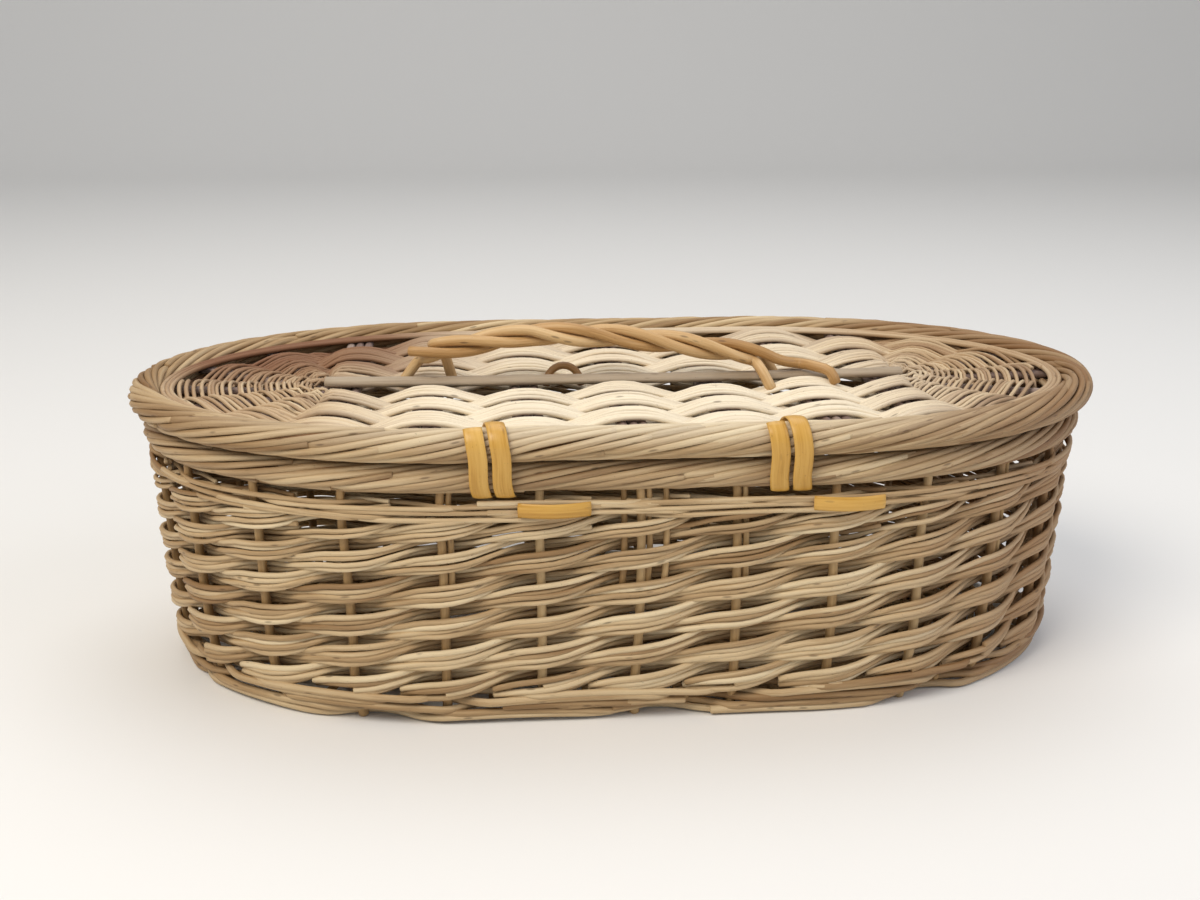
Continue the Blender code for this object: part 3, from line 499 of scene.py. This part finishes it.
def weave_panel(work, crossings, rows, outer, inner, wave, height, tight, begin, crowd, bleach_and_light, age_and_shade):
    """Two bands of fine rods chase each other inward, over one stick and under the next. crossings are
    the rays beside the sticks, outer and inner the ovals between which the rows lie, wave how far a
    row rises, tight the row from which the spokes of a fan are passed as one, and crowd how much
    closer the inner rows lie."""
    count = len(crossings)
    for band in (0, 1):
        late = begin + band * count // 2
        table, under = [], []
        for step in range(round((rows - 1) * count / 2) + 1):
            row = 2.0 * step / count
            first, second, fan_place = crossings[(step + late) % count]
            side = 1.0 if ((step + late) % count + band) % 2 == 0 else -1.0
            if fan_place is not None and row > tight and fan_place % 2 == 0:
                side = -side
            after = crossings[(step + late + 1) % count][0]
            gap = (after[2] - second[2] + 540.0) % 360.0 - 180.0
            middle = ((second[0] + after[0]) / 2, (second[1] + after[1]) / 2, second[2] + gap / 2)
            for (x, y, angle), lift, on in ((first, side, 0.0), (second, side, 0.3), (middle, 0.0, 1.0)):
                at_end = fan_place is not None and on < 1.0
                table.append((x, y, math.radians(angle), row + on / count, lift, at_end))
            under.append((len(table) - 2, side))
        x, y, angle, row, side_lift, at_end = np.array(table).T
        for lane in range(PANEL_LANES):
            # at the ends each rod goes its own way, over and under the spokes
            lift = np.where(at_end > 0, side_lift * (0.8 if lane % 2 else -0.8), side_lift)
            reach = ((lane + 0.5) / PANEL_LANES - 0.5) * PANEL_SPREAD
            drift = wander(len(x), 0.03, 5)

            def at(extra):
                share = 1 - (1 - np.clip((row + reach + extra + drift + 0.5) / rows, 0, 0.999)) ** crowd
                return on_oval(x, y, angle, *(o + (i - o) * share for o, i in zip(outer, inner)))

            px, py = at(0.0)
            qx, qy = at(1.0 / PANEL_LANES)
            radius = np.clip(PANEL_FILL * np.hypot(px - qx, py - qy), *PANEL_R)
            crown = PANEL_CROWN * (1 - (2 * reach) ** 2) + PANEL_LOOSE * chance.uniform(0, 1)
            z = height(px, py) + lift * (wave + crown * (lift > 0)) + wander(len(x), 0.2, 3)
            path = np.stack([px, py, z], -1)
            run = np.concatenate([[0.0], np.cumsum(np.linalg.norm(np.diff(path, axis=0), axis=1))])
            # rods are joined where they pass under a stick
            joins, want = [0], chance.uniform(*PANEL_ROD) * chance.uniform(0.3, 1.0)
            for place, side in under:
                if side < 0 and run[place] - run[joins[-1]] > want and place < len(path) - 6:
                    joins.append(place)
                    want = chance.uniform(*PANEL_ROD)
            joins.append(len(path) - 1)
            for begun, last in zip(joins, joins[1:]):
                part = slice(begun, last + 1)
                size = radius[part] * np.linspace(1.06, 0.9, last + 1 - begun)
                work.rod(path[part], size, sides=7, step=4.6, bleach_and_light=bleach_and_light, age_and_shade=age_and_shade,
                         shade=chance.normal(0.55, 0.24))


def lid_painted_light(points):
    """How much painted light lifts the lid: most along the front and the middle, least at the back left and
    the ends.
    """
    x, y = points[:, 0], points[:, 1]
    return np.clip(0.9 - 0.004 * np.maximum(0, y) - np.clip((np.abs(x - 10) - 90) / 90, 0, 0.75), 0.03, 1.0)


def lid_darkening(points):
    """How much darker the lid is made: the back left most, then the ends."""
    x, y = points[:, 0], points[:, 1]
    back = np.clip((y + 5) / 45, 0, 1)
    return 0.75 * back * np.clip((-x - 50) / 70, 0, 1) + 0.3 * np.clip((np.abs(x) - 120) / 70, 0, 1) \
        + 0.15 * np.clip((y - 50) / 40, 0, 1)


# The lid's panel is lifted with painted light along its front and middle, and made darker at the back left
# and the ends
work = Weaving()
weave_panel(work, rays(CROSS_X, FAN_X, FAN_ANGLES, 3 * CROSS_ROD, 3.0), LID_ROWS,
            (LID_LONG - LID_CLEAR + 3.0, LID_DEEP - LID_CLEAR + 2.5, FLANK),
            (FAN_X + 16.0, STICK_WIDE / 2 + 1.0, CROSS_X[-1]),
            CROSS_ROD + 1.4, lid_height, 0.66 * LID_ROWS, LID_BEGIN, LID_CROWD, lid_painted_light, lid_darkening)
# Rods in pairs that run once round beside the rim, one over the sticks and one under them
for order in range(BESIDE_RODS):
    u = chance.uniform(0, STAKES) + np.arange(0.0, STAKES + 0.6, QUARTER)
    inward = BESIDE_IN + BESIDE_APART * (order // 2)
    path = round_oval(u, LID_LONG, LID_DEEP, 0.0, -inward + wander(len(u), 0.25, 6))
    path[:, 2] = lid_height(path[:, 0], path[:, 1]) + (CROSS_ROD + BESIDE_UP) * (1 if order % 2 else -1)
    work.rod(path, BESIDE_R, sides=7, step=4.6, bleach_and_light=lid_painted_light, age_and_shade=lid_darkening)
work.piece("lid_weave_rods", LID_WILLOW, "lid", "panel", "lid_weave_a", "lid_weave_b")


def signed(values):
    """The values mirrored to the left as well, from left to right."""
    return [-value for value in reversed(values) if value] + list(values)


for number, x in enumerate(signed(CROSS_X)):
    work = Weaving()
    for beside in (-1, 0, 1):
        y = np.linspace(-1, 1, 9) * (LID_DEEP - 5.0) * (1.0 if abs(x) < 100 else 0.94)
        px = x + beside * 2 * CROSS_ROD + wander(9, 0.25, 2)
        path = np.stack([px, y, lid_height(px, y)], -1)
        work.rod(path, CROSS_ROD * chance.uniform(0.93, 1.0), sides=10, step=6.0)
    if abs(x) == CROSS_X[-1]:
        for angle in FAN_ANGLES:
            turn = math.radians(angle) + (math.pi if x < 0 else 0.0)
            fx = math.copysign(FAN_X, x)
            ex, ey = on_oval(fx, 0.0, np.array(turn), LID_LONG - SPOKE_EASE, LID_DEEP - SPOKE_EASE, FLANK)
            share = np.linspace(0, 1, 6)
            px, py = fx + (ex - fx) * share, ey * share
            for beside in (-1, 1):
                sx, sy = [way * beside * SPOKE_APART * share for way in (-math.sin(turn), math.cos(turn))]
                work.rod(np.stack([px + sx, py + sy, lid_height(px, py)], -1), SPOKE_R, sides=8, step=6.0)
    work.piece(f"lid_cross_rods_{number + 1}", CROSS_WILLOW, "lid", "cross", f"lid_cross_{number + 1}")

work = Weaving()
x = np.linspace(-STICK_END, STICK_END, 15)
path = np.stack([x, wander(15, 0.25, 3), lid_height(x, 0 * x) + CROSS_ROD + 0.2 + STICK_HIGH / 2], -1)
work.rod(path, STICK_HIGH / 2 * np.linspace(0.98, 0.9, 15), sides=14, step=5.0,
         wide=STICK_WIDE / STICK_HIGH, shade=0.6, out=np.array([0.0, 0.0, 1.0]))
work.piece("lid_long_stick", STICK_WILLOW, "lid", "cross", "lid_stick")

# Floor: three sticks each way from the middle, and fans, all aimed halfway between two stakes
halfway = [round_oval(np.array(at + 0.5), BODY_LONG - FLOOR_IN[0], BODY_DEEP - FLOOR_IN[1], 0.0)
           for at in range(STAKES // 2)]
floor_x = [float(point[0]) for point in halfway[:FLOOR_STICKS]]
floor_fan = floor_x[-1] + 1.0
floor_angles = [math.degrees(math.atan2(point[1], point[0] - floor_fan))
                for point in halfway[FLOOR_STICKS:-FLOOR_STICKS]]
work = Weaving()
weave_panel(work, rays(floor_x, floor_fan, floor_angles, 4.0, 3.0), FLOOR_ROWS,
            (BODY_LONG - FLOOR_ROW_IN[0], BODY_DEEP - FLOOR_ROW_IN[1], FLANK),
            (floor_fan + 13.0, 2.0, floor_x[-1]),
            2.7, floor_height, 0.58 * FLOOR_ROWS, 0, 1.0, 0.0, 0.25)
work.piece("floor_weave_rods", STAKE_WILLOW, "basket", "floor", "floor_weave_a", "floor_weave_b")
for number, x in enumerate(signed(floor_x)):
    work = Weaving()
    y = np.linspace(-1, 1, 7) * (BODY_DEEP - 9.0) * (1.0 if abs(x) < 90 else 0.95)
    work.rod(np.stack([np.full(7, x), y, np.full(7, FLOOR_Z)], -1), FLOOR_STICK_R, sides=10, step=8.0,
             wide=FLOOR_STICK_WIDE, out=np.array([0.0, 0.0, 1.0]))
    if abs(x) == floor_x[-1]:
        for angle in floor_angles:
            turn = math.radians(angle) + (math.pi if x < 0 else 0.0)
            fx = math.copysign(floor_fan, x)
            ex, ey = on_oval(fx, 0.0, np.array(turn), BODY_LONG - FLOOR_SPOKE_IN[0],
                             BODY_DEEP - FLOOR_SPOKE_IN[1], FLANK)
            share = np.linspace(0, 1, 5)
            path = np.stack([fx + (ex - fx) * share, ey * share, np.full(5, FLOOR_Z)], -1)
            work.rod(path, FLOOR_SPOKE_R, step=8.0)
    work.piece(f"floor_stick_rods_{number + 1}", STAKE_WILLOW, "basket", "floor", f"floor_stick_{number + 1}")


# Handle: a core and two roping strands
def rope(x, strand, away):
    """Points of a strand that winds round the rope's middle line."""
    first, last = ROPE_SPAN[0]
    phase = math.radians(ROPE_PHASE) + math.tau * (ROPE_TURNS * (x - first) / (last - first) + strand / 3)
    height = STICK_TOP + np.interp(x, *zip(*HANDLE_LINE))
    return np.stack([x, away * np.cos(phase), height + away * np.sin(phase)], -1)


x = np.linspace(HANDLE_LINE[0][0], HANDLE_LINE[-1][0], 34)
away = STRAND_OFF * np.clip((HANDLE_LINE[-1][0] - x) / CORE_EASE, 0, 1)
work = Weaving()
core = np.concatenate([rope(x, -1, away), [(px, py, STICK_TOP + up) for px, py, up in CORE_END]])
work.rod(core, STRAND_R * np.linspace(0.94, 1.0, len(core)), sides=14, step=3.0, shade=0.45)
work.piece("handle_core_rod", HANDLE_WILLOW, "lid", "handle", "handle_core")
for strand, title in enumerate(("handle_rope_a", "handle_rope_b")):
    work = Weaving()
    (first, last), feet = ROPE_SPAN[strand], ROPE_FEET[strand]
    path = rope(np.linspace(first, last, 30), strand, STRAND_OFF)
    for at, (fx, fy) in ((0, feet[0]), (-1, feet[1])):
        near = path[at]
        knee = near + (np.array([fx, fy, near[2]]) - near) * KNEE_SHARE + KNEE_DROP
        low = np.array([fx, fy, STICK_TOP - FOOT_DEEP])
        path = np.concatenate([[low, knee], path] if at == 0 else [path, [knee, low]])
    work.rod(path, STRAND_R, sides=14, step=3.0, shade=(0.75, 0.6)[strand])
    work.piece(f"{title}_rod", HANDLE_WILLOW, "lid", "handle", title)

# What is left of a strand comes up again behind the long stick as a loose loop
LOOSE_AT, LOOSE_REACH, LOOSE_R = (-25.5, 9.0, STICK_TOP - 7.5), (-8.5, 3.0, 9.0), 1.9
work = Weaving()
turn = np.linspace(0, math.pi, 11)
arch = np.stack([np.cos(turn), np.sin(turn), np.sin(turn)], -1)
work.rod(np.array(LOOSE_AT) + np.array(LOOSE_REACH) * arch, LOOSE_R, sides=10, step=2.0, shade=0.2, age_and_shade=0.35)
work.piece("handle_loose_loop", HANDLE_WILLOW, "lid", "handle")


# Hinge loops of flat cane: down in front of both borders, up behind them and down in front again
BELT_POINTS, BELT_FROM, BELT_TO = 8, 12, 36     # points round one border, first and last step of the cane
CANE_SIDES, TAIL_POINTS, TAIL_BOW, TAIL_WIDE = 14, 9, 3.0, 0.8


def belt(count):
    """One turn of the inside of a loop, in the upright plane across the hinge, and which way is out."""
    low, high = np.array([-BODY_DEEP, BODY_Z]), np.array([-LID_DEEP, LID_Z])
    line = (high - low) / np.linalg.norm(high - low)
    lean = math.asin((LID_RIM - BODY_RIM) / np.linalg.norm(high - low))
    start = math.atan2(line[1], line[0])
    spots, ways = [], []
    for centre, radius, first, last in ((low, BODY_RIM, math.pi / 2 + lean, 3 * math.pi / 2 - lean),
                                        (high, LID_RIM, -math.pi / 2 - lean, math.pi / 2 + lean)):
        angle = start + np.linspace(first, last, count)
        ways.append(np.stack([np.cos(angle), np.sin(angle)], -1))
        spots.append(centre + ways[-1] * (radius + 0.7 * CANE_CLEAR + CANE_THICK / 2))
    return np.concatenate(spots), np.concatenate(ways)


for title, side in (("hinge_loop_left", -1), ("hinge_loop_right", 1)):
    work = Weaving()
    spot, out = belt(BELT_POINTS)
    total = len(spot)
    steps = np.arange(BELT_FROM, BELT_TO)
    x = side * LOOP_X + CANE_PITCH * (steps / total - 1.5)
    path = np.stack([x, spot[steps % total, 0], spot[steps % total, 1]], -1)
    ways = np.stack([0 * x, out[steps % total, 0], out[steps % total, 1]], -1)
    work.rod(path, CANE_THICK / 2, sides=CANE_SIDES, step=2.0, wide=CANE_WIDE / CANE_THICK, out=ways,
             shade=0.55)
    work.piece(f"{title}_cane", HINGE_CANE, "hinge_loops", "cane", title)
for title, side in (("hinge_tail_left", -1), ("hinge_tail_right", 1)):
    work = Weaving()
    low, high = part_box(title)
    t = np.linspace(0, 1, TAIL_POINTS)
    x = low.x / MM + (high.x - low.x) / MM * t
    y = high.y / MM - CANE_THICK / 2 - (TAIL_BOW * np.sin(math.pi * t))
    path = np.stack([x, y, np.full(TAIL_POINTS, (low.z + high.z) / 2 / MM)], -1)
    work.rod(path, CANE_THICK / 2, sides=CANE_SIDES, step=2.0, wide=TAIL_WIDE * CANE_WIDE / CANE_THICK,
             out=np.array([0.0, -1.0, 0.0]), shade=0.5)
    work.piece(f"{title}_cane", HINGE_CANE, "basket", "cane", title)


# Pale floor that turns up into a backdrop, in metres
HALF_WIDE, NEAR_EDGE, BEND_FROM, BEND, TOP_EDGE = 5.0, -3.0, 2.2, 0.8, 4.0


def backdrop():
    """Matt pale paper on the ground, with a soft bend up behind the basket."""
    finish = bpy.data.materials.new("pale_paper_floor")
    finish.use_nodes = True
    shader = finish.node_tree.nodes["Principled BSDF"]
    shader.inputs["Base Color"].default_value = colour("#E9E8E6")
    shader.inputs["Roughness"].default_value = 0.9
    shader.inputs["Specular IOR Level"].default_value = 0.1
    turn = np.linspace(0, math.pi / 2, 14)
    bend = [(BEND_FROM + BEND * math.sin(a), BEND - BEND * math.cos(a)) for a in turn]
    profile = [(NEAR_EDGE, 0.0), *bend, (BEND_FROM + BEND, TOP_EDGE)]
    points = [(x, y, z) for y, z in profile for x in (-HALF_WIDE, HALF_WIDE)]
    faces = [(2 * at, 2 * at + 1, 2 * at + 3, 2 * at + 2) for at in range(len(profile) - 1)]
    mesh = bpy.data.meshes.new("backdrop")
    mesh.from_pydata(points, [], faces)
    mesh.polygons.foreach_set("use_smooth", [True] * len(mesh.polygons))
    mesh.materials.append(finish)
    made = bpy.data.objects.new("backdrop", mesh)
    bpy.context.scene.collection.objects.link(made)


backdrop()


# Camera and light
def lamp(name, place, aim, size, power, tint):
    """A round soft lamp that points from its place to its aim, in metres and watts."""
    light = bpy.data.lights.new(name, "AREA")
    light.shape, light.size, light.energy = "DISK", size, power
    light.color = colour(tint)[:3]
    made = bpy.data.objects.new(name, light)
    made.location = place
    way = np.array(aim) - np.array(place)
    tilt = math.acos(-way[2] / np.linalg.norm(way))
    made.rotation_euler = (tilt, 0.0, math.atan2(way[0], -way[1]) + math.pi)
    bpy.context.scene.collection.objects.link(made)


lamp("window", (-0.9, -1.0, 1.6), (0.0, 0.0, 0.08), 1.2, 26.0, "#FFF6E8")
lamp("far_side", (1.4, -0.6, 1.0), (0.0, 0.0, 0.08), 1.4, 9.0, "#EEF3FF")
lamp("above", (0.1, 0.7, 1.9), (0.0, 0.0, 0.1), 1.6, 12.0, "#FFFFFF")

world = bpy.data.worlds.new("studio")
bpy.context.scene.world = world
world.use_nodes = True
world.node_tree.nodes["Background"].inputs["Color"].default_value = colour("#F2F4F7")
world.node_tree.nodes["Background"].inputs["Strength"].default_value = 0.45

# The camera fitted to the photo: its place in metres, its focal length in pixels of a picture
# PICTURE wide, and how far it looks down and to the right in degrees
PLACE, FOCUS, PITCH, YAW = (-0.0624, -0.6821, 0.2951), 1457.3, 16.53, 4.53
SENSOR, PICTURE = 36.0, 1200
camera = bpy.data.objects.new("camera", bpy.data.cameras.new("camera"))
camera.data.sensor_width = SENSOR
camera.data.lens = FOCUS * SENSOR / PICTURE
camera.location = PLACE
camera.rotation_euler = (math.radians(90 - PITCH), 0.0, math.radians(-YAW))
camera.data.clip_start = 0.01
bpy.context.scene.collection.objects.link(camera)
bpy.context.scene.camera = camera
bpy.context.scene.view_settings.view_transform = "Standard"
